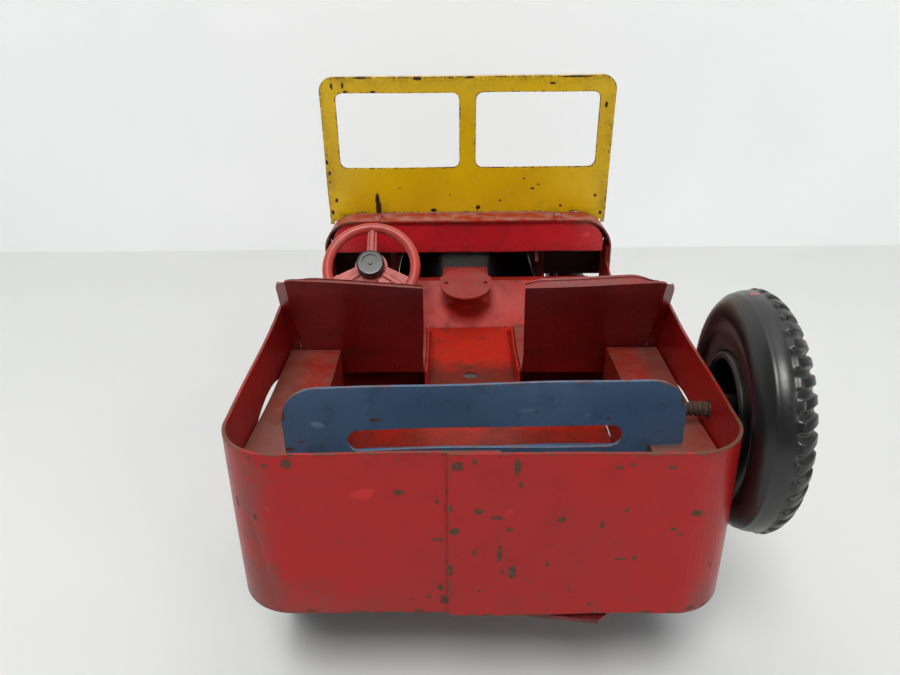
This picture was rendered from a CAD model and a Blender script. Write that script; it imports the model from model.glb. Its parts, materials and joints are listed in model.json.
import json
import math

import bpy
import numpy as np
from mathutils import Matrix, Vector, kdtree

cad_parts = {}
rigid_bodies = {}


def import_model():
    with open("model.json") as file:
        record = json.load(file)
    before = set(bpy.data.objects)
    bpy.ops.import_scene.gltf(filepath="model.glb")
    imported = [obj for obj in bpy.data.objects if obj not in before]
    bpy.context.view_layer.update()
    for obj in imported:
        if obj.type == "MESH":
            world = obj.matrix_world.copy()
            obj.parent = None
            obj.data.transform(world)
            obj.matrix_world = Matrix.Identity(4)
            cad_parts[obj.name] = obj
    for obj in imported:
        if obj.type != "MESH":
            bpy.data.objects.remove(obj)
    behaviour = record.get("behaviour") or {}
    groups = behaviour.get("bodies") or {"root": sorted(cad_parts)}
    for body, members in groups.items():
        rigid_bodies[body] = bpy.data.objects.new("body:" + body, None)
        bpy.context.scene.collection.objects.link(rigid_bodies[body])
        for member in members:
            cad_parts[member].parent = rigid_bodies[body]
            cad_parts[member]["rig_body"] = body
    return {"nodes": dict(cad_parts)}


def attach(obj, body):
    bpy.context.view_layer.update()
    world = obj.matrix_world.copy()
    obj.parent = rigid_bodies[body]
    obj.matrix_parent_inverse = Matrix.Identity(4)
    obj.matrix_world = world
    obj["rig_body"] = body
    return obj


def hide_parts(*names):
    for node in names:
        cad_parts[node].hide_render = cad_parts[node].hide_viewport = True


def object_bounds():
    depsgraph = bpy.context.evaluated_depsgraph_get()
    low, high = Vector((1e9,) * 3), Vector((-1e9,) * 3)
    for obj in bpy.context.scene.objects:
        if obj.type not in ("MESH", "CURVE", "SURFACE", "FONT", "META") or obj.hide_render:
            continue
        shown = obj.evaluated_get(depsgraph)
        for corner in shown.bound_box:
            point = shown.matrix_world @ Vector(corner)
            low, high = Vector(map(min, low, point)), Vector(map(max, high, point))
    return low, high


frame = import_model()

cad_lo, cad_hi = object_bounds()
NODES = frame["nodes"]
NODE_BODY = {n: o["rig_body"] for n, o in NODES.items()}
OX, OY = -7.6, -143.5          # body coordinates to row coordinates, mm
LO = np.array(cad_lo) * 1000
HI = np.array(cad_hi) * 1000
SC = bpy.context.scene


def lin(c, g=1.0):
    """sRGB 0-255 to a linear RGBA tuple."""
    out = []
    for x in c:
        x = x / 255.0
        out.append(g * (x / 12.92 if x <= 0.04045 else ((x + 0.055) / 1.055) ** 2.4))
    return (*out, 1.0)


# ------------------------------------------------------------ mesh tools
def unit(a):
    n = np.linalg.norm(a, axis=-1, keepdims=True)
    n[n < 1e-12] = 1
    return a / n


def read(node):
    """Welded vertices (mm) and triangles of a CAD node."""
    me = NODES[node].data
    me.calc_loop_triangles()
    v = np.empty(len(me.vertices) * 3, np.float32)
    me.vertices.foreach_get("co", v)
    v = np.round(v.reshape(-1, 3).astype(float) * 1000, 3)
    f = np.empty(len(me.loop_triangles) * 3, np.int32)
    me.loop_triangles.foreach_get("vertices", f)
    f = f.reshape(-1, 3).astype(np.int64)
    uv, inv = np.unique(v, axis=0, return_inverse=True)
    f = inv.reshape(-1)[f]
    keep = (f[:, 0] != f[:, 1]) & (f[:, 1] != f[:, 2]) & (f[:, 2] != f[:, 0])
    return uv, f[keep]


def edge_table(f, nv):
    a = np.concatenate([f[:, 0], f[:, 1], f[:, 2]])
    b = np.concatenate([f[:, 1], f[:, 2], f[:, 0]])
    lo, hi = np.minimum(a, b), np.maximum(a, b)
    key = lo * nv + hi
    uk, inv, cnt = np.unique(key, return_inverse=True, return_counts=True)
    return uk // nv, uk % nv, inv.reshape(-1), cnt


def corner_normals(v, f, ang=30):
    """Normals per face corner, smoothed over edges flatter than ang, weighted by area."""
    nf = len(f)
    fn = np.cross(v[f[:, 1]] - v[f[:, 0]], v[f[:, 2]] - v[f[:, 0]])
    un = unit(fn)
    ea, eb, inv, cnt = edge_table(f, len(v))
    order = np.argsort(inv, kind="stable")
    start = np.concatenate([[0], np.cumsum(cnt)])[:-1]
    two = cnt == 2
    h1, h2 = order[start[two]], order[start[two] + 1]
    f1, k1, f2, k2 = h1 % nf, h1 // nf, h2 % nf, h2 // nf
    ok = (un[f1] * un[f2]).sum(1) > math.cos(math.radians(ang))
    f1, k1, f2, k2 = f1[ok], k1[ok], f2[ok], k2[ok]
    lab = np.arange(nf * 3)
    # a half edge k of face f runs corner k to corner k+1
    p, q = [], []
    for d1 in (0, 1):
        c1 = f1 * 3 + (k1 + d1) % 3
        v1 = f[f1, (k1 + d1) % 3]
        for d2 in (0, 1):
            c2 = f2 * 3 + (k2 + d2) % 3
            same = f[f2, (k2 + d2) % 3] == v1
            p.append(c1[same])
            q.append(c2[same])
    p, q = np.concatenate(p), np.concatenate(q)
    for _ in range(400):
        m = np.minimum(lab[p], lab[q])
        new = lab.copy()
        np.minimum.at(new, p, m)
        np.minimum.at(new, q, m)
        new = new[new]
        if (new == lab).all():
            break
        lab = new
    acc = np.zeros((nf * 3, 3))
    np.add.at(acc, lab, np.repeat(fn, 3, axis=0))
    return unit(acc[lab]).reshape(nf, 3, 3)


def refine(v, f, limit, passes=14):
    """Splits every edge longer than limit(midpoint), keeping curved surfaces curved."""
    N = corner_normals(v, f)
    for _ in range(passes):
        nf = len(f)
        ea, eb, inv, cnt = edge_table(f, len(v))
        mid = (v[ea] + v[eb]) / 2
        ln = np.linalg.norm(v[ea] - v[eb], axis=1)
        split = ln > limit(mid)
        if not split.any():
            break
        na = np.concatenate([N[:, 0], N[:, 1], N[:, 2]])
        nb = np.concatenate([N[:, 1], N[:, 2], N[:, 0]])
        a = np.concatenate([f[:, 0], f[:, 1], f[:, 2]])
        b = np.concatenate([f[:, 1], f[:, 2], f[:, 0]])
        e = v[b] - v[a]
        pa, pb = (e * na).sum(1), (e * nb).sum(1)
        big = np.maximum(abs(pa), abs(pb))
        sym = (pa * pb < 0) & (np.minimum(abs(pa), abs(pb)) > 0.55 * big) & (np.linalg.norm(e, axis=1) < 12)
        d = -0.125 * (pa[:, None] * na - pb[:, None] * nb) * sym[:, None]
        nm = unit(na + nb)
        dsum = np.zeros((len(ea), 3))
        nsum = np.zeros((len(ea), 3))
        np.add.at(dsum, inv, d)
        np.add.at(nsum, inv, nm)
        smooth = (np.linalg.norm(nsum, axis=1) > 1.98) & (cnt == 2)
        dsum[smooth] *= 0.5
        dsum[cnt > 2] = 0
        ids = np.full(len(ea), -1, np.int64)
        ids[split] = len(v) + np.arange(split.sum())
        v = np.vstack([v, (mid + dsum)[split]])
        s = ids[inv].reshape(3, nf).T
        V6 = np.concatenate([f, s], axis=1)
        N6 = np.concatenate([N, nm.reshape(3, nf, 3).transpose(1, 0, 2)], axis=1)
        on = s >= 0
        c = on.sum(1)
        outv, outn = [f[c == 0]], [N[c == 0]]

        def rolled(mask, r):
            i = [(0 + r) % 3, (1 + r) % 3, (2 + r) % 3]
            cols = i + [3 + x for x in i]
            return V6[mask][:, cols], N6[mask][:, cols]

        def take(vv, nn, *tris):
            for t in tris:
                outv.append(vv[:, list(t)])
                outn.append(nn[:, list(t)])

        for r in range(3):
            vv, nn = rolled((c == 1) & on[:, r], r)
            if len(vv):
                take(vv, nn, (0, 3, 2), (3, 1, 2))
            # edges r and r+1 split, the third whole
            vv, nn = rolled((c == 2) & ~on[:, (r + 2) % 3], r)
            if len(vv):
                take(vv, nn, (3, 1, 4))
                d0 = np.linalg.norm(v[vv[:, 3]] - v[vv[:, 2]], axis=1)
                d1 = np.linalg.norm(v[vv[:, 0]] - v[vv[:, 4]], axis=1)
                k = d0 < d1
                take(vv[k], nn[k], (0, 3, 2), (3, 4, 2))
                take(vv[~k], nn[~k], (0, 3, 4), (0, 4, 2))
        m3 = c == 3
        take(V6[m3], N6[m3], (0, 3, 5), (3, 1, 4), (5, 4, 2), (3, 4, 5))
        f, N = np.concatenate(outv), np.concatenate(outn)
        if len(f) > 400000:
            break
    return v, f, N


def edge_samples(v, f, ang=35, step=0.4, convex=True):
    """Points along the sharp edges, convex or concave ones."""
    nf = len(f)
    fn = unit(np.cross(v[f[:, 1]] - v[f[:, 0]], v[f[:, 2]] - v[f[:, 0]]))
    cen = v[f].mean(1)
    ea, eb, inv, cnt = edge_table(f, len(v))
    order = np.argsort(inv, kind="stable")
    start = np.concatenate([[0], np.cumsum(cnt)])[:-1]
    two = np.where(cnt == 2)[0]
    f1, f2 = order[start[two]] % nf, order[start[two] + 1] % nf
    sharp = (fn[f1] * fn[f2]).sum(1) < math.cos(math.radians(ang))
    side = ((cen[f2] - cen[f1]) * fn[f1]).sum(1) < 0
    pick = two[sharp & (side == convex)]
    out = []
    for a, b in zip(v[ea[pick]], v[eb[pick]]):
        n = max(1, int(np.linalg.norm(b - a) / step))
        w = (np.arange(n + 1) / n)[:, None]
        out.append(a * (1 - w) + b * w)
    return np.concatenate(out) if out else np.zeros((0, 3))


def nearest(points, samples):
    if not len(samples):
        return np.full(len(points), 99.0)
    kd = kdtree.KDTree(len(samples))
    for i, p in enumerate(samples):
        kd.insert(p, i)
    kd.balance()
    return np.array([kd.find(p)[2] for p in points])


def waves(p, seed, lam, n=6):
    """A smooth field, about -1 to 1, with wavelengths near lam mm."""
    r = np.random.RandomState(seed)
    out = np.zeros(len(p))
    for _ in range(n):
        d = r.normal(size=3)
        d /= np.linalg.norm(d)
        out += np.sin(p @ d * (2 * math.pi / (lam * r.uniform(0.75, 1.4))) + r.uniform(0, 6.28))
    return out / math.sqrt(n)


def sstep(x, a, b):
    t = np.clip((x - a) / (b - a), 0, 1)
    return t * t * (3 - 2 * t)


def body_xyz(p):
    return p[:, 0] - OX, p[:, 1] - OY, p[:, 2]


def sheet_warp(p, amp=0.22):
    """The gentle unevenness of hand-finished sheet, the same field for every part, still near the hinges."""
    d = np.stack([waves(p, 1, 46), waves(p, 2, 40), waves(p, 3, 52) * 0.5], 1) * amp
    x, y, z = body_xyz(p)
    near = np.hypot(y - 186.4, z - 86.8)
    d *= sstep(near, 3.0, 16)[:, None]
    near = np.hypot(y - 187, z - 80.2)
    d *= sstep(near, 3.0, 14)[:, None]
    return d


def make(name, v, f, mat, sharp=30, attrs=None, smooth=True):
    me = bpy.data.meshes.new(name)
    me.vertices.add(len(v))
    me.vertices.foreach_set("co", (v / 1000).astype(np.float32).ravel())
    me.loops.add(f.size)
    me.loops.foreach_set("vertex_index", f.astype(np.int32).ravel())
    me.polygons.add(len(f))
    k = f.shape[1]
    me.polygons.foreach_set("loop_start", np.arange(len(f), dtype=np.int32) * k)
    me.update(calc_edges=True)
    me.validate()
    for key, val in (attrs or {}).items():
        at = me.attributes.new(key, "FLOAT", "POINT")
        at.data.foreach_set("value", np.asarray(val, np.float32))
    if smooth:
        me.shade_smooth()
        me.set_sharp_from_angle(angle=math.radians(sharp))
    me.materials.append(mat)
    o = bpy.data.objects.new(name, me)
    SC.collection.objects.link(o)
    return o


def skin(node, mat, L=1.6, chips=(), fine=0.34, warp=0.22, field=None, zone=None, dirt=None,
         face=(0, -1, 0), wear_r=1.1, sharp=30, edge_L=None, wear_k=None):
    """The visible sheet for a CAD node: the same surface, finer, slightly uneven, with masks for its finish."""
    v0, f0 = read(node)
    conv = edge_samples(v0, f0, convex=True)
    conc = edge_samples(v0, f0, convex=False)
    ch = np.array([c[:5] for c in chips], float) if len(chips) else None
    cpos = ch[:, :3] + [OX, OY, 0] if ch is not None else None

    def limit(mid):
        out = np.full(len(mid), float(L))
        if cpos is not None:
            for c, q in zip(ch, cpos):
                near = np.linalg.norm(mid - q, axis=1) < max(c[3], c[4]) + 1.0
                out[near] = fine
        return out

    v, f, N = refine(v0, f0, limit)
    nv = np.zeros((len(v), 3))
    np.add.at(nv, f.ravel(), N.reshape(-1, 3))
    nv = unit(nv)
    dw = nearest(v, conv)
    wear = np.exp(-dw / wear_r)
    if wear_k is not None:
        wear = wear * wear_k(v, nv)
    dd = np.exp(-nearest(v, conc) / 2.6)
    if dirt is not None:
        dd = np.clip(dd + dirt(v, nv), 0, 1)
    chip = np.zeros(len(v))
    if cpos is not None:
        ok = (nv @ np.array(face)) > -0.15
        for c, q in zip(ch, cpos):
            d = v - q
            r2 = (d[:, 0] ** 2 + d[:, 1] ** 2) / (c[3] * 0.85) ** 2 + d[:, 2] ** 2 / (c[4] * 0.85) ** 2
            chip = np.maximum(chip, np.exp(-r2 * 0.75) * ok)
    zn = zone(v, nv) if zone is not None else np.zeros(len(v))
    moved = v.copy()
    if warp:
        moved = moved + sheet_warp(v, warp)
    if field is not None:
        moved = moved + field(v, nv)
    moved = np.clip(moved, LO + 0.004, HI - 0.004)
    o = make(node + ".skin", moved, f, mat, sharp, dict(wear=wear, chip=chip, zone=zn, dirt=dd))
    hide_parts(node)
    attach(o, NODE_BODY[node])
    return o


# ------------------------------------------------------------ materials
class Tree:
    def __init__(self, name):
        self.mat = bpy.data.materials.new(name)
        self.mat.use_nodes = True
        self.t = self.mat.node_tree
        self.t.nodes.clear()
        self.tc = self.node("ShaderNodeTexCoord").outputs["Object"]
        s = self.node("ShaderNodeVectorMath", operation="SCALE")
        s.inputs["Scale"].default_value = 1000
        self.link(self.tc, s.inputs[0])
        self.P = s.outputs[0]

    def node(self, kind, **kw):
        n = self.t.nodes.new(kind)
        for k, val in kw.items():
            setattr(n, k, val)
        return n

    def link(self, a, b):
        self.t.links.new(a, b)

    def put(self, sock, val):
        if isinstance(val, bpy.types.NodeSocket):
            self.link(val, sock)
        else:
            sock.default_value = val

    def math(self, op, a, b=0.0, c=None, clamp=False):
        n = self.node("ShaderNodeMath", operation=op, use_clamp=clamp)
        self.put(n.inputs[0], a)
        self.put(n.inputs[1], b)
        if c is not None:
            self.put(n.inputs[2], c)
        return n.outputs[0]

    def add(self, *xs):
        out = xs[0]
        for x in xs[1:]:
            out = self.math("ADD", out, x)
        return out

    def mul(self, *xs):
        out = xs[0]
        for x in xs[1:]:
            out = self.math("MULTIPLY", out, x)
        return out

    def big(self, *xs):
        out = xs[0]
        for x in xs[1:]:
            out = self.math("MAXIMUM", out, x)
        return out

    def step(self, x, a, b, lo=0.0, hi=1.0):
        n = self.node("ShaderNodeMapRange", interpolation_type="SMOOTHSTEP")
        self.put(n.inputs["Value"], x)
        for k, val in (("From Min", a), ("From Max", b), ("To Min", lo), ("To Max", hi)):
            self.put(n.inputs[k], val)
        return n.outputs[0]

    def scaled(self, v, s, rot=None, off=None):
        n = self.node("ShaderNodeMapping")
        self.put(n.inputs["Vector"], v)
        n.inputs["Scale"].default_value = s if isinstance(s, (tuple, list)) else (s, s, s)
        if rot:
            n.inputs["Rotation"].default_value = rot
        if off:
            n.inputs["Location"].default_value = off
        return n.outputs[0]

    def noise(self, scale, detail=4, rough=0.55, off=0.0, dist=0.0, vec=None):
        n = self.node("ShaderNodeTexNoise")
        self.link(self.scaled(vec or self.P, scale, off=(off, off * 1.7, off * 0.6)), n.inputs["Vector"])
        n.inputs["Scale"].default_value = 1
        n.inputs["Detail"].default_value = detail
        n.inputs["Roughness"].default_value = rough
        n.inputs["Distortion"].default_value = dist
        return n.outputs["Fac"]

    def cells(self, scale, off=0.0):
        n = self.node("ShaderNodeTexVoronoi", feature="F1")
        self.link(self.scaled(self.P, scale, off=(off, off, off)), n.inputs["Vector"])
        n.inputs["Scale"].default_value = 1
        return n.outputs["Distance"], n.outputs["Color"]

    def attr(self, name):
        n = self.node("ShaderNodeAttribute", attribute_name=name)
        return n.outputs["Fac"]

    def mix(self, fac, a, b, mode="MIX"):
        n = self.node("ShaderNodeMix", data_type="RGBA", blend_type=mode)
        self.put(n.inputs[0], fac)
        self.put(n.inputs[6], a)
        self.put(n.inputs[7], b)
        return n.outputs[2]

    def fmix(self, fac, a, b):
        n = self.node("ShaderNodeMix", data_type="FLOAT")
        self.put(n.inputs[0], fac)
        self.put(n.inputs[2], a)
        self.put(n.inputs[3], b)
        return n.outputs[0]

    def sep(self, v):
        n = self.node("ShaderNodeSeparateXYZ")
        self.link(v, n.inputs[0])
        return n.outputs

    def up(self):
        g = self.node("ShaderNodeNewGeometry")
        return self.sep(g.outputs["Normal"])[2]

    def bump(self, height, dist=0.001, strength=1.0, normal=None):
        n = self.node("ShaderNodeBump")
        n.inputs["Strength"].default_value = strength
        n.inputs["Distance"].default_value = dist
        self.link(height, n.inputs["Height"])
        if normal is not None:
            self.link(normal, n.inputs["Normal"])
        return n.outputs[0]

    def done(self, color, rough, metal=0.0, normal=None, spec=0.5, coat=0.0, coat_r=0.2):
        b = self.node("ShaderNodeBsdfPrincipled")
        self.put(b.inputs["Base Color"], color)
        self.put(b.inputs["Roughness"], rough)
        self.put(b.inputs["Metallic"], metal)
        self.put(b.inputs["Specular IOR Level"], spec)
        if coat:
            b.inputs["Coat Weight"].default_value = coat
            b.inputs["Coat Roughness"].default_value = coat_r
        if normal is not None:
            self.link(normal, b.inputs["Normal"])
        out = self.node("ShaderNodeOutputMaterial")
        self.link(b.outputs[0], out.inputs["Surface"])
        return self.mat


def enamel(name, base, alt, dark, zone_col=None, rust=(78, 60, 48), rust2=(44, 30, 24), rough=0.33, wear=1.0, specks=1.0,
           dust=0.25, dust_col=(150, 110, 90), scratch=0.5, scratch_col=None, seed=0.0, stain=0.35, peel=1.0, coat=0.12,
           zone_sharp=0.25, edge_col=None, grime=0.5, edge_pow=1.0, spec=0.42):
    """Old air-dried enamel over sheet steel: uneven tone, scuffs, chips down to browned metal along the edges."""
    t = Tree(name)
    big = t.noise(0.028, 3, 0.5, off=seed)
    mid = t.noise(0.16, 5, 0.6, off=seed + 3)
    fine = t.noise(0.9, 6, 0.65, off=seed + 7)
    tiny = t.noise(4.2, 4, 0.6, off=seed + 11)
    col = t.mix(t.step(big, 0.42, 0.62), lin(base), lin(alt))
    col = t.mix(t.mul(t.step(mid, 0.5, 0.72), stain), col, lin(dark))
    if zone_col is not None:
        z = t.add(t.attr("zone"), t.mul(t.math("SUBTRACT", mid, 0.5), 0.9), t.mul(t.math("SUBTRACT", fine, 0.5), 0.5))
        col = t.mix(t.step(z, 0.5 - zone_sharp, 0.5 + zone_sharp), col, lin(zone_col))
    # faint cloudiness and small darker spots
    col = t.mix(t.mul(t.step(fine, 0.52, 0.72), 0.16), col, lin(dark))
    col = t.mix(t.mul(t.step(tiny, 0.6, 0.75), 0.10), col, lin(rust2))
    # grime in the folds and settled dust on level faces
    gr = t.mul(t.attr("dirt"), t.step(t.add(fine, mid), 0.75, 1.25), grime)
    col = t.mix(gr, col, lin(rust2))
    if dust:
        d = t.mul(t.step(t.up(), 0.55, 0.98), t.step(t.add(mid, t.mul(fine, 0.6)), 0.65, 1.05), dust)
        col = t.mix(d, col, lin(dust_col))
    # scratches: long thin streaks in two directions
    sc = None
    for k, (rx, rz) in enumerate(((0.5, 0.35), (-0.9, 1.25), (1.3, 2.2))):
        vv = t.node("ShaderNodeMapping")
        t.link(t.P, vv.inputs["Vector"])
        vv.inputs["Rotation"].default_value = (rx, 0.4 * k, rz)
        vv.inputs["Scale"].default_value = (0.045, 2.6, 0.09)
        nn = t.node("ShaderNodeTexNoise")
        t.link(vv.outputs[0], nn.inputs["Vector"])
        nn.inputs["Scale"].default_value = 1
        nn.inputs["Detail"].default_value = 2
        s1 = t.mul(t.step(nn.outputs["Fac"], 0.725, 0.76), t.step(t.noise(0.11, 2, 0.5, off=seed + 20 + 5 * k), 0.5, 0.6))
        sc = s1 if sc is None else t.big(sc, s1)
    lighter = lin(scratch_col) if scratch_col else lin([min(255, c * 1.25 + 40) for c in base])
    col = t.mix(t.mul(sc, scratch), col, lighter)
    # bare metal: worn edges, listed chips, scattered specks
    w = t.math("POWER", t.attr("wear"), edge_pow)
    e = t.add(t.mul(w, wear), t.mul(t.math("SUBTRACT", fine, 0.5), 1.5), t.mul(t.math("SUBTRACT", mid, 0.5), 0.8))
    m_edge = t.mul(t.step(e, 0.80, 0.92), t.step(w, 0.18, 0.35))
    c = t.add(t.attr("chip"), t.mul(t.math("SUBTRACT", fine, 0.5), 0.75), t.mul(t.math("SUBTRACT", tiny, 0.5), 0.35))
    m_chip = t.mul(t.step(c, 0.43, 0.56), t.step(t.attr("chip"), 0.06, 0.2))
    masks = [m_edge, m_chip]
    if specks:
        for k, s in enumerate((0.21, 0.55)):
            dist, colr = t.cells(s, off=seed + 31 * k + 2)
            r = t.step(t.sep(colr)[0], 0.86 if k else 0.90, 1.0, 0.0, (0.12 if k else 0.10) * specks)
            dd = t.add(dist, t.mul(t.math("SUBTRACT", tiny, 0.5), 0.10), t.mul(t.math("SUBTRACT", fine, 0.5), 0.10))
            masks.append(t.mul(t.step(t.math("SUBTRACT", r, dd), 0.0, 0.03), t.step(r, 0.01, 0.03)))
    M = t.big(*masks)
    rc = t.mix(t.step(t.add(tiny, t.mul(fine, 0.5)), 0.55, 0.95), lin(rust), lin(rust2))
    if edge_col is not None:
        rc = t.mix(m_edge, rc, t.mix(t.step(tiny, 0.35, 0.65), lin(edge_col), lin(rust)))
    # a darker ring where the film has lifted round each chip
    halo = t.big(t.step(c, 0.33, 0.47), t.mul(t.step(e, 0.70, 0.84), t.step(w, 0.18, 0.35)))
    halo = t.mul(halo, t.math("SUBTRACT", 1.0, M, clamp=True), 0.35)
    col = t.mix(halo, col, lin([x * 0.62 for x in dark]))
    col = t.mix(M, col, rc)
    rg = t.add(rough, t.mul(t.math("SUBTRACT", mid, 0.5), 0.22), t.mul(t.math("SUBTRACT", fine, 0.5), 0.14), t.mul(gr, 0.3))
    rg = t.fmix(M, rg, t.step(tiny, 0.3, 0.7, 0.5, 0.8))
    h = t.add(t.mul(M, -0.055), t.mul(halo, 0.015), t.mul(t.noise(0.75, 2, 0.5, off=seed + 40), 0.02 * peel),
              t.mul(t.mul(M, tiny), 0.05), t.mul(sc, -0.012))
    nrm = t.bump(h, 0.001, 0.9)
    return t.done(col, rg, t.mul(M, 0.12), nrm, spec=spec, coat=coat, coat_r=0.22)


def metal(name, base, alt, rust, amount=0.5, rough=0.4, seed=0.0, met=0.8, scale=1.0):
    """Plain or plated steel gone dull, with brown bloom."""
    t = Tree(name)
    mid = t.noise(0.35 * scale, 5, 0.6, off=seed)
    fine = t.noise(1.8 * scale, 5, 0.65, off=seed + 5)
    tiny = t.noise(6.0, 3, 0.6, off=seed + 9)
    col = t.mix(t.step(mid, 0.4, 0.65), lin(base), lin(alt))
    r = t.step(t.add(mid, fine), 1.12 - 0.35 * amount, 1.35 - 0.35 * amount)
    col = t.mix(r, col, t.mix(t.step(tiny, 0.35, 0.65), lin(rust), lin([x * 0.6 for x in rust])))
    rg = t.fmix(r, t.add(rough, t.mul(t.math("SUBTRACT", fine, 0.5), 0.3)), 0.8)
    g = t.node("ShaderNodeMath", operation="MULTIPLY_ADD")
    h = t.add(t.mul(r, tiny, 0.08), t.mul(fine, 0.02))
    return t.done(col, rg, t.mul(t.math("SUBTRACT", 1.0, r), met), t.bump(h, 0.001, 0.8))


def rubber(name, base=(15, 15, 16), alt=(22, 21, 21), dusty=(60, 56, 53), paint=(150, 32, 28), rough=0.36, seed=0.0, scuffs=0.0):
    """Hard moulded rubber: black, still shiny on top, dulled by dust and handling."""
    t = Tree(name)
    big = t.noise(0.06, 3, 0.5, off=seed)
    mid = t.noise(0.3, 5, 0.62, off=seed + 4)
    fine = t.noise(1.6, 6, 0.65, off=seed + 8)
    tiny = t.noise(5.0, 3, 0.6, off=seed + 12)
    col = t.mix(t.step(mid, 0.42, 0.66), lin(base), lin(alt))
    d = t.mul(t.step(t.add(mid, t.mul(fine, 0.7)), 0.98, 1.3), 0.3)
    col = t.mix(d, col, lin(dusty))
    g = t.mul(t.attr("dirt"), t.step(fine, 0.42, 0.6), 0.18)
    col = t.mix(g, col, lin((92, 80, 70)))
    rg = t.add(rough, t.mul(d, 0.7), t.mul(t.math("SUBTRACT", fine, 0.5), 0.25))
    m = t.mul(t.step(t.add(t.attr("chip"), t.mul(t.math("SUBTRACT", fine, 0.5), 1.1)), 0.5, 0.62), scuffs)
    col = t.mix(m, col, lin(paint))
    nicks = t.step(t.mul(t.attr("wear"), t.add(fine, 0.3)), 0.42, 0.6)
    col = t.mix(t.mul(nicks, 0.16), col, lin((88, 84, 80)))
    h = t.add(t.mul(fine, 0.012), t.mul(mid, 0.03), t.mul(tiny, 0.003))
    return t.done(col, rg, 0.0, t.bump(h, 0.001, 0.7), spec=0.5, coat=0.22, coat_r=0.22)


RUST = (84, 64, 50)
RUST2 = (46, 32, 26)
M = {}
M["body_red"] = enamel("body_red", (164, 20, 19), (156, 26, 24), (116, 18, 18), zone_col=(132, 52, 46), seed=1, rust=(102, 72, 54), rust2=(62, 40, 31), wear=1.0, edge_col=(112, 74, 54), stain=0.3, scratch=0.2, dust=0.15, spec=0.26, coat=0.05)
M["floor_orange"] = enamel("floor_orange", (184, 38, 24), (168, 38, 27), (112, 32, 25), zone_col=(96, 36, 28), seed=2, rust=RUST, rust2=RUST2, rough=0.42, wear=0.7, stain=0.5, dust=0.12, dust_col=(140, 70, 54), zone_sharp=0.45, spec=0.2, coat=0.03)
M["well_red"] = enamel("well_red", (128, 56, 46), (112, 54, 46), (84, 40, 34), zone_col=(158, 44, 34), seed=3, rust=RUST, rust2=RUST2, rough=0.42, wear=0.7, stain=0.7, dust=0.45, dust_col=(128, 96, 80), zone_sharp=0.35)
M["seat_red"] = enamel("seat_red", (128, 20, 22), (138, 25, 25), (84, 14, 16), zone_col=(140, 38, 36), seed=4, rust=RUST, rust2=RUST2, rough=0.30, wear=0.78, stain=0.4, dust=0.3, edge_col=(110, 62, 50))
M["dash_red"] = enamel("dash_red", (200, 32, 40), (186, 28, 36), (140, 22, 28), zone_col=(206, 70, 74), seed=5, rust=RUST, rust2=RUST2, rough=0.27, wear=0.6, stain=0.25, dust=0.1, specks=0.5)
M["shift_red"] = enamel("shift_red", (160, 44, 40), (148, 44, 40), (110, 32, 30), seed=6, rust=RUST, rust2=RUST2, rough=0.34, wear=0.75, dust=0.3)
M["hood_red"] = enamel("hood_red", (166, 22, 21), (158, 28, 26), (118, 18, 18), zone_col=(22, 10, 9), spec=0.22, coat=0.04, seed=7, rust=(96, 76, 62), rust2=(62, 46, 38), wear=0.8, edge_col=(120, 88, 66))
M["chassis_red"] = enamel("chassis_red", (142, 30, 28), (128, 30, 28), (92, 24, 22), seed=8, rust=RUST, rust2=RUST2, rough=0.45, wear=0.9, stain=0.6, specks=1.5, grime=0.8)
M["tow_red"] = enamel("tow_red", (112, 18, 22), (100, 18, 22), (70, 14, 16), seed=9, rust=RUST, rust2=RUST2, rough=0.4, wear=0.85, stain=0.5)
M["windshield_yellow"] = enamel("windshield_yellow", (228, 188, 4), (220, 178, 5), (190, 148, 8), seed=10, rust=(66, 40, 26), rust2=(34, 20, 16), rough=0.31, wear=1.0, stain=0.22, dust=0.1, edge_col=(112, 72, 40), scratch=0.3, scratch_col=(150, 112, 20), specks=0.8)
M["seat_blue"] = enamel("seat_blue", (62, 90, 120), (70, 97, 126), (46, 68, 93), seed=11, rust=(110, 74, 52), rust2=(62, 40, 30), rough=0.36, wear=0.85, stain=0.5, edge_col=(132, 84, 56), scratch=0.55, scratch_col=(120, 146, 170), dust=0.2)
M["steering_coral"] = enamel("steering_coral", (192, 66, 56), (182, 76, 66), (146, 48, 42), seed=12, rust=(88, 66, 54), rust2=(52, 38, 32), rough=0.36, wear=0.55, stain=0.45, dust=0.2, specks=1.2)
M["hoop_red"] = enamel("hoop_red", (158, 22, 22), (150, 26, 25), (116, 18, 18), seed=22, rust=(102, 72, 54), rust2=(62, 40, 31), wear=0.95, edge_col=(112, 74, 54), stain=0.3, dust=0.95, dust_col=(176, 122, 122), spec=0.25, coat=0.04)
M["cowl_inner"] = enamel("cowl_inner", (150, 22, 21), (142, 26, 24), (100, 16, 16), zone_col=(22, 10, 9), spec=0.2, coat=0.02, seed=21, rust=(96, 76, 62), rust2=(62, 46, 38), wear=0.8, edge_col=(120, 88, 66))
M["lamp_metal"] = enamel("lamp_metal", (206, 164, 10), (196, 156, 12), (150, 118, 12), seed=13, rust=RUST, rust2=RUST2, rough=0.3, wear=0.8)
M["bare_steel"] = metal("bare_steel", (150, 146, 140), (120, 114, 108), (96, 62, 42), 0.5, 0.38, seed=14)
M["rusty_steel"] = metal("rusty_steel", (112, 96, 82), (92, 76, 64), (92, 58, 38), 1.0, 0.5, seed=15, met=0.4)
M["stud_brown"] = metal("stud_brown", (128, 106, 90), (104, 84, 70), (84, 58, 42), 0.9, 0.5, seed=16, met=0.35)
M["cap_black"] = rubber("cap_black", (12, 12, 14), (17, 17, 19), (40, 40, 42), rough=0.3, seed=17)
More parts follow.
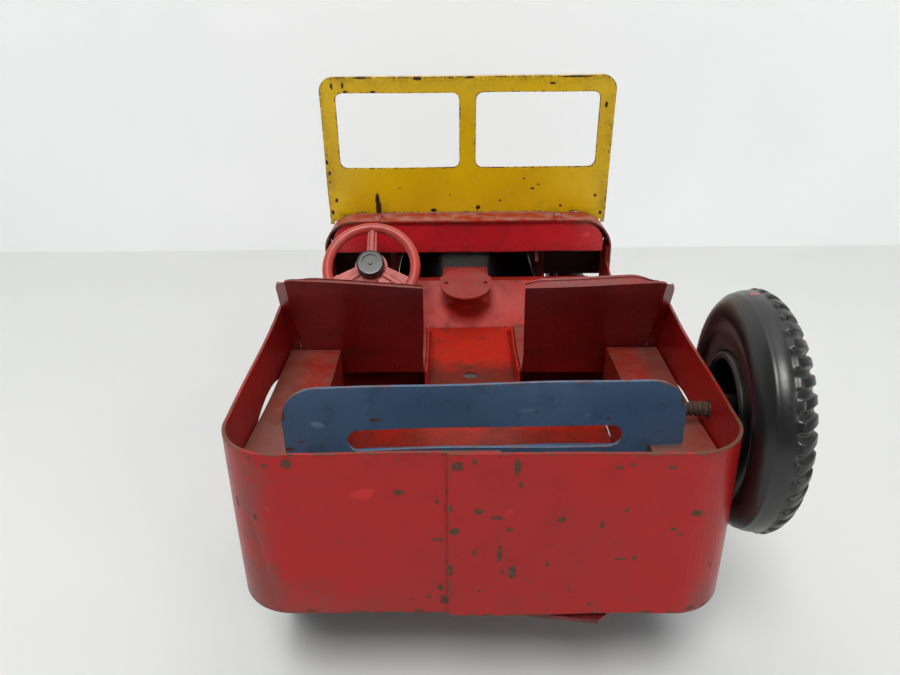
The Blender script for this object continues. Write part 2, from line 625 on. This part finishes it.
M["hub_black"] = enamel("hub_black", (22, 22, 23), (30, 29, 29), (14, 14, 14), seed=18, rust=RUST, rust2=RUST2, rough=0.34, wear=0.75, scratch=0.3, scratch_col=(90, 88, 84), dust=0.3, dust_col=(96, 86, 78))
M["tyre_black"] = rubber("tyre_black", seed=19)
M["tyre_spare"] = rubber("tyre_spare", seed=20, scuffs=1.0)

# ------------------------------------------------------------ chips seen on the real surfaces, body mm
REAR_CHIPS = [(-53.2, 1.0, 80.7, 1.1, 0.8), (-49.8, 0.2, 79.0, 1.1, 1.2), (-44.6, 0, 79.7, 1.7, 1.7), (-43.4, 0, 82, 1.5, 0.8), (-34.8, 0, 79.7, 0.7, 1.0), (-33.3, 0, 76.7, 0.8, 1.3), (-31.9, 0, 80.3, 0.7, 1.3), (-37.3, 0, 70.4, 0.8, 1.7), (-19.3, 0, 71.3, 1.8, 1.0), (-19.2, 0, 80.2, 1.1, 1.0), (-27.6, 0, 81.5, 0.9, 0.4), (-5.8, 0, 78.8, 1.5, 1.4), (-1.9, 0, 80.1, 0.6, 1.0), (7.7, 0, 78.7, 0.9, 2.8), (8.6, 0, 73.9, 0.6, 0.8), (-0.7, 0, 66.3, 1.3, 0.9), (3.5, 0, 64.5, 1.5, 0.6), (6.4, 0, 61.1, 1.1, 0.6), (-6.5, 0, 60.5, 1.5, 1.2), (-7.4, 0, 67.0, 0.7, 1.0), (-1.8, 0, 54.5, 0.6, 1.2), (4.2, 0, 54.0, 0.7, 2.8), (7.3, 0, 48.8, 1.2, 2.3), (4.9, 0, 48.8, 0.6, 0.9), (-7.5, 0, 49.2, 0.8, 2.0), (-10.0, 0.8, 43.2, 0.9, 1.2), (-9.1, 0.8, 39.4, 1.1, 1.8), (-12.8, 0.8, 40.1, 0.8, 0.6), (18.4, 0, 64.2, 1.1, 0.9), (28.0, 0, 62.4, 0.6, 1.5), (33.4, 0, 66.7, 0.7, 0.6), (33.7, 0, 79.1, 0.8, 0.6), (30.7, 0, 78.5, 1.1, 0.5), (42.5, 0, 78.4, 1.2, 0.8), (49.8, 0.2, 65.3, 1.5, 1.0), (55.6, 2.3, 35.4, 1.2, 0.8), (15.7, 0, 50.9, 0.5, 1.0), (33.3, 0, 52.0, 1.7, 0.5), (36.5, 0, 52.3, 0.6, 1.0), (-58.9, 5.3, 65.6, 0.8, 2.6), (-54.3, 1.5, 63.3, 1.1, 2.0), (-57.1, 3.4, 57.1, 0.6, 1.7), (-56.9, 3.2, 48.3, 0.8, 1.8), (-57.2, 3.5, 53.5, 0.5, 0.8), (-35.9, 0, 64.4, 0.7, 0.5), (-10.5, 0.8, 57.6, 1.7, 0.5), (-10.5, 0.8, 68.5, 0.4, 1.0), (-27.8, 0, 59.9, 0.4, 0.4), (-22.9, 0, 62.8, 0.3, 0.4), (-17.2, 0, 39.4, 1.1, 0.4), (-15.4, 0, 35.7, 1.7, 0.5), (12.0, 0, 35.0, 2.4, 0.5), (2.0, 0, 35.3, 1.9, 0.4), (-30.4, 0, 35.3, 3.1, 0.4), (-42.9, 0, 35.9, 1.9, 0.5), (40.6, 0, 35.3, 1.9, 0.5), (51.9, 0.6, 36.3, 1.4, 0.6), (44.9, 0, 60.8, 1.1, 0.6), (46.5, 0, 59.4, 0.8, 0.5), (55.8, 2.4, 48.1, 0.7, 0.5), (11.6, 0, 45.9, 0.6, 0.4), (21.5, 0, 42.7, 0.5, 0.4), (26.8, 0, 37.8, 0.7, 0.4), (-0.5, 0, 42.9, 0.5, 0.6)]
SHIELD_CHIPS = [(-39.9, 185.9, 91.2, 1.5, 4.6), (-39.7, 185.6, 94.6, 0.9, 4.4), (4.4, 186.0, 90.3, 0.5, 1.5), (-60.6, 184.6, 103.5, 0.6, 1.0), (-59.9, 184.9, 101.0, 0.5, 0.6), (-60.9, 183.4, 115.0, 0.5, 0.9), (-60.2, 182.9, 119.7, 0.4, 0.7), (60.9, 182.2, 127.0, 0.5, 1.4), (61.0, 183.3, 116.0, 0.5, 1.2), (27.0, 185.1, 99.0, 0.5, 0.5), (29.5, 185.0, 100.3, 0.4, 0.5), (-40.1, 185.5, 95.3, 1.2, 4.6), (-15.1, 186.1, 89.9, 1.7, 1.1), (4.7, 185.9, 91.1, 1.3, 1.3), (-56.6, 180.4, 144.0, 0.8, 2.1), (-52.0, 180.4, 144.3, 0.8, 2.1), (-51.0, 180.7, 141.5, 1.3, 0.6), (-39.4, 180.7, 141.4, 1.7, 0.6), (-20.5, 180.1, 146.7, 2.1, 0.9), (35.2, 180.4, 144.3, 1.7, 0.6), (45.3, 180.1, 146.9, 8.0, 0.5), (58.3, 181.3, 135.6, 0.9, 1.7), (3.9, 181.5, 133.7, 0.9, 1.3), (-61.3, 183.7, 112.2, 0.9, 1.3), (-60.4, 184.2, 107.3, 0.9, 1.3), (28.7, 185.0, 99.7, 1.1, 0.6), (31.2, 184.9, 101.5, 0.9, 0.6), (24.9, 184.6, 104.2, 0.9, 0.4), (-44.3, 180.1, 147.0, 3.4, 0.6), (0.9, 180.1, 146.9, 2.6, 0.6), (-30.0, 185.0, 100.3, 0.9, 0.4), (-7.8, 185.3, 96.9, 0.6, 0.4), (14.5, 185.6, 94.3, 0.9, 0.6), (41.6, 185.9, 91.7, 0.9, 0.9), (56.9, 185.4, 96.3, 0.9, 0.9), (-58.4, 185.5, 95.0, 0.9, 1.3), (59.8, 186.2, 88.3, 0.9, 1.3), (-60.7, 186.1, 89.4, 0.9, 1.7)]
# the lap seam of the two body sheets, rubbed along its edge
SEAM = [(-8.3 + 0.25 * math.sin(k * 2.3), 0.4, 34.5 + k * 2.45 + 0.9 * math.sin(k * 1.7), 0.42 + 0.18 * math.sin(k * 3.1), 1.5 + 0.6 * math.sin(k * 0.9)) for k in range(20)]
REAR_CHIPS = REAR_CHIPS + SEAM
PLATE_CHIPS = [(-26.3, 20.0, 79.2, 1.8, 0.6), (10.9, 20.0, 73.2, 1.0, 0.4), (31.9, 20.0, 79.4, 0.4, 0.6), (-45.2, 20.0, 73.2, 0.8, 0.4), (-48.3, 20.0, 70.9, 1.2, 0.6), (-7.9, 20.0, 84.5, 0.6, 0.3), (-33.0, 20.0, 72.1, 0.7, 0.8), (-13.5, 20.0, 76.4, 0.4, 0.3), (33.8, 20.0, 71.5, 0.8, 0.4), (14.0, 20.0, 81.4, 0.5, 0.3), (-28.6, 20.0, 76.5, 0.8, 0.3), (49.9, 20.0, 84.5, 0.4, 2.5), (-49.0, 20.0, 81.5, 0.4, 2.5)]


# ------------------------------------------------------------ shaped fields
SEAT_B, SEAT_LEAN = (90.2, 57.0), 28.6    # fold of the front seats (y, z) and lean of their backs


def bump_at(p, c, r, depth, direction):
    d = (p - (np.array(c) + [OX, OY, 0])) / np.array(r)
    return np.exp(-(d ** 2).sum(1))[:, None] * depth * np.array(direction, float)


def tub_field(p, n):
    """Dents in the rear panel and corners, and the bent crease on its left."""
    x, y, z = body_xyz(p)
    out = np.zeros_like(p)
    out += bump_at(p, (-30, 0, 60), (22, 6, 16), 0.35, (0, 1, 0))
    out += bump_at(p, (28, 0, 52), (20, 6, 13), 0.30, (0, 1, 0))
    out += bump_at(p, (-8, 0, 70), (9, 6, 9), 0.22, (0, 1, 0))
    out += bump_at(p, (46, 1, 70), (9, 6, 9), 0.22, (0, 1, 0))
    # crease leaning towards the lower centre
    rear = sstep(12 - y, 0, 8)
    xc = -55.2 + (64 - z) * 0.13
    fold = np.exp(-abs(x - xc) / 1.7) * sstep(z, 34, 42) * (1 - sstep(z, 58, 68)) * rear
    out[:, 1] += fold * 0.34
    return out


def shield_field(p, n):
    x, y, z = body_xyz(p)
    out = np.zeros_like(p)
    k = sstep(z, 96, 112)
    out[:, 1] += k * (0.32 * waves(p, 31, 55))
    out[:, 1] += k * (-0.9 * np.exp(-((x - 52) / 9) ** 2 - ((z - 147) / 6) ** 2) * 0 + 0.5 * np.exp(-((x - 20) / 14) ** 2 - ((z - 140) / 9) ** 2))
    return out


def cowl_field(p, n):
    """The cowl's front sheet meets the hoop all round."""
    x, y, z = body_xyz(p)
    out = np.zeros_like(p)
    out[:, 0] = np.sign(x) * 0.86 * sstep(abs(x), 48, 59) * sstep(z, 76.2, 77.4)
    return out


def seat_field(lip, s_in, s_out):
    """The top flange thins out towards its ends and runs into the rounded corner."""
    cl, sl = math.cos(math.radians(SEAT_LEAN)), math.sin(math.radians(SEAT_LEAN))

    def f(p, n):
        x, y, z = body_xyz(p)
        dy, dz = y - SEAT_B[0], z - SEAT_B[1]
        u = -dy * sl + dz * cl
        w = dy * cl + dz * sl
        ax = abs(x)
        top = s_in + (s_out - s_in) * np.clip((ax - 15.6) / 39.4, 0, 1)
        near = sstep(u, top - 2.6, top - 1.4) * sstep(w, 0.38, 0.6)
        k = lip * (1 - 0.85 * sstep(ax, 47, 54.9)) * (0.4 + 0.6 * sstep(ax, 15.6, 21))
        nw = 0.4 + (w - 0.4) * np.clip(k, 0.05, 1)
        d = (nw - w) * near
        drop = -0.55 * near * sstep(ax, 49, 54.9)
        # the outer strip lies flat near the fold, against the wheel well
        flat = (1 - sstep(u, 17, 30)) * sstep(ax, 57.0, 57.6) * (u > 8)
        d = d - 0.92 * flat * np.where(w < 2.6, w, 0) * (u < 30)
        out = np.zeros_like(p)
        out[:, 0] = np.sign(x) * 0.16 * flat * sstep(ax, 60, 60.8)
        out[:, 1] = d * cl - drop * sl
        out[:, 2] = d * sl + drop * cl
        return out
    return f


def zone_tub(p, n):
    """Paler rubbed paint round the upright corners."""
    x, y, z = body_xyz(p)
    corner = np.exp(-((abs(x) - 55) / 5.0) ** 2) * sstep(9 - y, 0, 6)
    low = (1 - sstep(z, 33, 54)) * 0.34
    left = sstep(-x, 8, 58) * 0.26
    return (0.34 * corner + low + left) * sstep(n[:, 1] * -1 + abs(n[:, 0]), 0.4, 0.9)


def zone_floor(p, n):
    x, y, z = body_xyz(p)
    return 0.95 * sstep(100 - y, 8, 55) + 0.8 * sstep(30 - abs(y - 100), 0, 22) * sstep(24 - abs(x), 0, 6)


def zone_well(p, n):
    x, y, z = body_xyz(p)
    k = sstep(y, 30, 66) * (1 - sstep(abs(x), 50, 58))
    return 0.85 * k


def zone_seat(p, n):
    """A paler rubbed band along the top of each back and down its outer side."""
    x, y, z = body_xyz(p)
    top = sstep(z, 92.6, 94.0)
    return 0.75 * np.clip(top, 0, 1)


def zone_inside(p, n):
    """The unlit, sooty inner faces of the nose: hood underside, back of the grille, cowl opening."""
    x, y, z = body_xyz(p)
    down = n[:, 2] < -0.3
    side = (n[:, 0] * np.sign(x) < -0.3) & (y > 186)
    back = (n[:, 1] < -0.5) & (y > 200)
    belly = (n[:, 2] > 0.5) & (z < 50)
    front = (n[:, 1] > 0.5) & (y < 188)
    return np.where(down | side | back | belly | front, 1.8, -0.9)


def zone_cowl(p, n):
    return np.where(abs(n[:, 1]) > 0.5, 1.8, -0.9)


def dirt_tub(p, n):
    x, y, z = body_xyz(p)
    inner = ((n[:, 1] > 0.3) & (y < 10)) | ((n[:, 0] * np.sign(x) < -0.3) & (abs(x) > 50))
    return 0.5 * inner * (1 - sstep(z, 52, 78))


# ------------------------------------------------------------ sheet parts
skin("tub_left_half", M["body_red"], 1.7, REAR_CHIPS, field=tub_field, zone=zone_tub, dirt=dirt_tub)
skin("tub_right_half", M["body_red"], 1.7, REAR_CHIPS, field=tub_field, zone=zone_tub, dirt=dirt_tub)
skin("floor_pan", M["floor_orange"], 2.2, zone=zone_floor)
if "seat_braces" in NODES:
    skin("seat_braces", M["floor_orange"], 1.8)
for s in ("left", "right"):
    skin("wheel_well_" + s, M["well_red"], 1.9, zone=zone_well)
    skin("front_seat_" + s, M["seat_red"], 1.6, zone=zone_seat, warp=0.3,
         field=seat_field(*((0.35, 44.9, 48.6) if s == "left" else (0.9, 44.6, 46.4))))
    skin("fender_" + s, M["hood_red"], 2.4, zone=lambda p, n: np.full(len(p), -0.9))
    skin("chassis_rail_" + s, M["chassis_red"], 4.0)
skin("cowl_hoop", M["hoop_red"], 1.5)
skin("cowl_face", M["cowl_inner"], 2.6, zone=zone_cowl, field=cowl_field)
skin("dash_panel", M["dash_red"], 1.5, warp=0.35)
skin("dash_clip", M["rusty_steel"], 1.2)
skin("shift_plate", M["shift_red"], 0.9)
skin("windshield_frame", M["windshield_yellow"], 1.4, SHIELD_CHIPS, field=shield_field, warp=0.1)
skin("windshield_lugs", M["body_red"], 1.0, warp=0)
skin("hood", M["hood_red"], 2.0, zone=zone_inside)
skin("hood_lugs", M["hood_red"], 1.0, warp=0, zone=lambda p, n: np.full(len(p), -0.9))
skin("grille_panel", M["hood_red"], 1.6, zone=zone_inside)
skin("headlamps", M["lamp_metal"], 1.2, warp=0)
skin("front_bumper", M["chassis_red"], 2.2)
skin("rear_crossmember", M["chassis_red"], 2.6)
skin("rear_axle_hangers", M["chassis_red"], 2.0, warp=0)
skin("front_axle_beam", M["chassis_red"], 2.4, warp=0)
skin("tow_plate", M["tow_red"], 1.6, warp=0)
skin("rear_seat", M["seat_blue"], 1.4, PLATE_CHIPS, warp=0.3)
skin("steering_wheel", M["steering_coral"], 0.9, warp=0)
skin("steering_cap", M["cap_black"], 0.8, warp=0)
for s in ("left", "right"):
    for e in ("front", "rear"):
        skin("hub_%s_%s" % (e, s), M["hub_black"], 1.6, warp=0)
skin("spare_hub", M["hub_black"], 1.3, warp=0)


# ------------------------------------------------------------ tyres
def tyre_profile(n_mid, lug):
    """(r, z) round the section, axis z, outer side at +z. lug 1 is a tread block, 0 the groove beside it."""
    pts = []
    side = [(15.52, 0.0), (15.52, 2.4), (15.55, 4.3), (15.85, 4.95), (16.6, 5.15), (18.2, 5.18), (19.8, 5.2)]
    for r, z in side:
        pts.append((r, -z))
    for i in range(n_mid + 1):
        a = -126 + 252 * i / n_mid
        ca, sa = math.cos(math.radians(a)), math.sin(math.radians(a))
        R = 6.66
        k = sstep(np.array([a]), 4, 15)[0] * (1 - sstep(np.array([a]), 66, 84)[0])
        R += k * (0.92 * lug - 0.12)
        if sa > 0.5:
            R = min(R, 6.78 / sa)
        if ca > 0.5:
            R = min(R, 7.17 / ca)
        pts.append((25.0 + R * ca, R * sa))
    for r, z in reversed(side):
        if z > 0.001:
            pts.append((r, z))
    return np.array(pts)


def build_tyre(node, mat, mat4, n_ang, n_mid, seed, scuffs=()):
    A, B = tyre_profile(n_mid, 0.0), tyre_profile(n_mid, 1.0)
    n_p = len(A)
    th = np.arange(n_ang) / n_ang * 2 * math.pi
    lugs = 40
    # the blocks lean over along the section, a little hooked at the crown end
    lean = 0.10 * (B[None, :, 1] - 3.2) + 0.18 * np.exp(-((B[None, :, 1] - 1.2) / 1.2) ** 2)
    ph = (th[:, None] * lugs / (2 * math.pi) + lean) % 1.0
    q = abs(ph - 0.5) * 2                     # 0 at the middle of a block, 1 in the groove
    m = 1 - sstep(q, 0.42, 0.80)
    out = sstep(B[None, :, 1], 0.2, 1.2) * np.ones_like(m)
    m = m * out + (1 - out) * 0.5
    rr = A[None, :, 0] * (1 - m) + B[None, :, 0] * m
    zz = A[None, :, 1] * (1 - m) + B[None, :, 1] * m
    # moulding lines, thin raised ribs
    crown = (zz < 0) & (rr > 28)
    rr = rr + crown * 0.24 * np.exp(-((zz + 3.6) / 0.20) ** 2)
    side = (zz < 0) & (abs(rr - 24.4) < 2)
    zz = np.where(side, zz - 0.13 * np.exp(-((rr - 24.4) / 0.25) ** 2), zz)
    # slight unevenness
    rs = np.random.RandomState(seed)
    lump = sum(rs.uniform(-1, 1) * np.cos(k * th + rs.uniform(0, 6.28)) for k in range(2, 7)) * 0.035
    rr = rr + lump[:, None] * (rr > 20)
    rr = np.minimum(rr, 32.17)
    zz = np.clip(zz, -6.79, 6.79)
    x = rr * np.cos(th)[:, None]
    y = rr * np.sin(th)[:, None]
    v = np.stack([x, y, zz], -1).reshape(-1, 3)
    i = np.arange(n_ang)[:, None]
    j = np.arange(n_p)[None, :]
    a = i * n_p + j
    b = ((i + 1) % n_ang) * n_p + j
    c = ((i + 1) % n_ang) * n_p + (j + 1) % n_p
    d = i * n_p + (j + 1) % n_p
    f = np.stack([a, b, c, d], -1).reshape(-1, 4)
    M4 = np.array(mat4)
    vw = v @ M4[:3, :3].T + M4[:3, 3]
    chip = np.zeros(len(vw))
    for cx, cy, cz, r in scuffs:
        chip = np.maximum(chip, np.exp(-(np.linalg.norm(vw - np.array([cx + OX, cy + OY, cz]), axis=1) / r) ** 2))
    groove = ((1 - m) * out).reshape(-1)
    edge = (np.exp(-((q - 0.5) / 0.12) ** 2) * out * (B[None, :, 0] > 26)).reshape(-1)
    vw = np.clip(vw, LO + 0.004, HI - 0.004)
    o = make(node + ".rubber", vw, f, mat, 40, dict(wear=edge * 0.9, chip=chip, dirt=groove * 0.9, zone=np.zeros(len(vw))))
    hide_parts(node)
    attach(o, NODE_BODY[node])
    return o


def wheel_matrix(side, x, y):
    r = Matrix.Rotation(math.radians(90 * side), 4, "Y")
    return Matrix.Translation((side * x + OX, y + OY, 32.2)) @ r


for s, sg in (("left", -1), ("right", 1)):
    for e, yy in (("rear", 50), ("front", 235)):
        build_tyre("tyre_%s_%s" % (e, s), M["tyre_black"], wheel_matrix(sg, 53, yy), 480, 40, 5 + yy + sg)
hwt = 62.4
spare_m = (Matrix.Translation((hwt + OX, 32 + OY, 75)) @ Matrix.Rotation(math.radians(-2.5), 4, "Z")
           @ Matrix.Translation((70.6 - hwt, 0, 0)) @ Matrix.Rotation(math.radians(90), 4, "Y"))
build_tyre("spare_tyre", M["tyre_spare"], spare_m, 960, 72, 77,
           scuffs=[(70, 36, 106.9, 2.0), (76.5, 16.5, 102.5, 2.4), (77.0, 10.0, 96.5, 2.2), (77.0, 6.5, 93, 2.0), (77.0, 4.5, 89, 2.0), (77, 2.5, 84, 1.8)])

# ------------------------------------------------------------ plain steel parts keep their CAD mesh
STEEL = {"windshield_pins": "bare_steel", "hood_rod": "bare_steel", "steering_column": "rusty_steel", "column_bushing": "bare_steel",
         "rear_axle": "rusty_steel", "rear_axle_caps": "bare_steel", "kingpins": "rusty_steel", "knuckle_left": "rusty_steel",
         "knuckle_right": "rusty_steel", "stub_cap_left": "bare_steel", "stub_cap_right": "bare_steel", "tie_rod": "rusty_steel",
         "spare_stud": "stud_brown", "spare_nut": "bare_steel", "tow_rivet": "bare_steel", "chassis_rivets": "rusty_steel"}
for n, m in STEEL.items():
    if n not in NODES:
        continue
    o = NODES[n]
    o.data.materials.clear()
    o.data.materials.append(M[m])
    o.data.shade_smooth()
    o.data.set_sharp_from_angle(angle=math.radians(32))
    bv = o.modifiers.new("soft_edges", "BEVEL")
    bv.width = 0.00012
    bv.segments = 2
    bv.limit_method = "ANGLE"
    bv.angle_limit = math.radians(40)
    bv.harden_normals = False

# ------------------------------------------------------------ stage: floor, backdrop, light
def stage_quad(name, pts, mat):
    me = bpy.data.meshes.new(name)
    me.from_pydata(pts, [], [(0, 1, 2, 3)])
    me.materials.append(mat)
    o = bpy.data.objects.new(name, me)
    SC.collection.objects.link(o)
    return o


t = Tree("floor_board")
fl = t.mix(t.step(t.noise(0.004, 2, 0.5), 0.35, 0.7), lin((222, 223, 221)), lin((219, 220, 219)))
floor_mat = t.done(fl, 0.32, spec=0.45)
t = Tree("wall_board")
wl = t.mix(t.step(t.noise(0.005, 3, 0.5), 0.4, 0.65), lin((238, 239, 239)), lin((235, 237, 237)))
wall_mat = t.done(wl, 0.8, spec=0.2)
wb = [n for n in wall_mat.node_tree.nodes if n.type == "BSDF_PRINCIPLED"][0]
wb.inputs["Emission Color"].default_value = (0.96, 0.98, 1.0, 1)
wb.inputs["Emission Strength"].default_value = 0.17


def one_sided(mat):
    """The stage is only seen from its object side, so the toy can be looked at from all round."""
    nt = mat.node_tree
    out = [n for n in nt.nodes if n.type == "OUTPUT_MATERIAL"][0]
    bsdf = [n for n in nt.nodes if n.type == "BSDF_PRINCIPLED"][0]
    geo = nt.nodes.new("ShaderNodeNewGeometry")
    tr = nt.nodes.new("ShaderNodeBsdfTransparent")
    mx = nt.nodes.new("ShaderNodeMixShader")
    nt.links.new(geo.outputs["Backfacing"], mx.inputs[0])
    nt.links.new(bsdf.outputs[0], mx.inputs[1])
    nt.links.new(tr.outputs[0], mx.inputs[2])
    nt.links.new(mx.outputs[0], out.inputs["Surface"])


one_sided(floor_mat)
one_sided(wall_mat)
WY = (415 + OY) / 1000
stage_quad("floor", [(-2.5, -1.6, 0), (2.5, -1.6, 0), (2.5, WY, 0), (-2.5, WY, 0)], floor_mat)
stage_quad("backdrop", [(-2.5, WY, 0), (2.5, WY, 0), (2.5, WY, 2.2), (-2.5, WY, 2.2)], wall_mat)

WORLD_BACK, WORLD_FRONT = 0.10, 0.50
world = bpy.data.worlds.new("studio")
SC.world = world
world.use_nodes = True
wt = world.node_tree
bg = wt.nodes["Background"]
bg.inputs[0].default_value = (0.95, 0.975, 1.0, 1)
# dimmer behind the camera, brighter ahead and overhead
tc = wt.nodes.new("ShaderNodeTexCoord")
sp = wt.nodes.new("ShaderNodeSeparateXYZ")
wt.links.new(tc.outputs["Generated"], sp.inputs[0])
mr = wt.nodes.new("ShaderNodeMapRange")
mr.inputs["From Min"].default_value = -0.55
mr.inputs["From Max"].default_value = 0.45
mr.inputs["To Min"].default_value = WORLD_BACK
mr.inputs["To Max"].default_value = WORLD_FRONT
wt.links.new(sp.outputs["Y"], mr.inputs["Value"])
wt.links.new(mr.outputs["Result"], bg.inputs[1])


def area(name, loc, target, size, power, color=(1, 1, 1)):
    d = bpy.data.lights.new(name, "AREA")
    d.shape = "RECTANGLE"
    d.size, d.size_y = size
    d.energy = power
    d.color = color
    o = bpy.data.objects.new(name, d)
    SC.collection.objects.link(o)
    o.location = loc
    o.rotation_mode = "QUATERNION"
    o.rotation_quaternion = (Vector(target) - Vector(loc)).to_track_quat("-Z", "Y")
    return o


area("key_window", (-0.15, -0.85, 1.35), (0, 0, 0.05), (0.55, 0.55), 15.0, (1.0, 0.99, 0.97))
area("window_right_a", (0.62, -0.95, 0.62), (0.05, -0.1, 0.07), (0.07, 0.5), 1.2, (0.96, 0.98, 1.0))
area("window_right_b", (0.78, -0.82, 0.62), (0.05, -0.1, 0.07), (0.07, 0.5), 1.2, (0.96, 0.98, 1.0))
area("ceiling", (0.0, 0.25, 1.5), (0, 0, 0), (1.2, 1.2), 6.0, (1, 1, 1))

# ------------------------------------------------------------ camera at the photograph's viewing angle
th, ro, yw = math.radians(24.33), math.radians(-0.6), math.radians(0.38)
fwd = np.array([0, math.cos(th), -math.sin(th)])
right = np.array([1.0, 0, 0])
up = np.cross(right, fwd)
cr = math.cos(ro) * right + math.sin(ro) * up
cu = -math.sin(ro) * right + math.cos(ro) * up


def turn(d):
    c, s = math.cos(yw), math.sin(yw)
    return np.array([d[0] * c - d[1] * s, d[0] * s + d[1] * c, d[2]])


cr, cu, cf = turn(cr), turn(cu), turn(fwd)
cam_d = bpy.data.cameras.new("camera")
cam_d.sensor_width = 36
cam_d.lens = 730 / 900 * 36
cam_d.clip_start = 0.01
cam_d.clip_end = 20
cam = bpy.data.objects.new("camera", cam_d)
SC.collection.objects.link(cam)
m = Matrix.Identity(4)
for i in range(3):
    m[i][0], m[i][1], m[i][2] = cr[i], cu[i], -cf[i]
m[0][3], m[1][3], m[2][3] = (-6.3 + OX) / 1000, (-137.6 + OY) / 1000, 0.1731
cam.matrix_world = m
SC.camera = cam

SC.view_settings.view_transform = "Standard"
SC.view_settings.look = "None"
SC.view_settings.exposure = 0.0
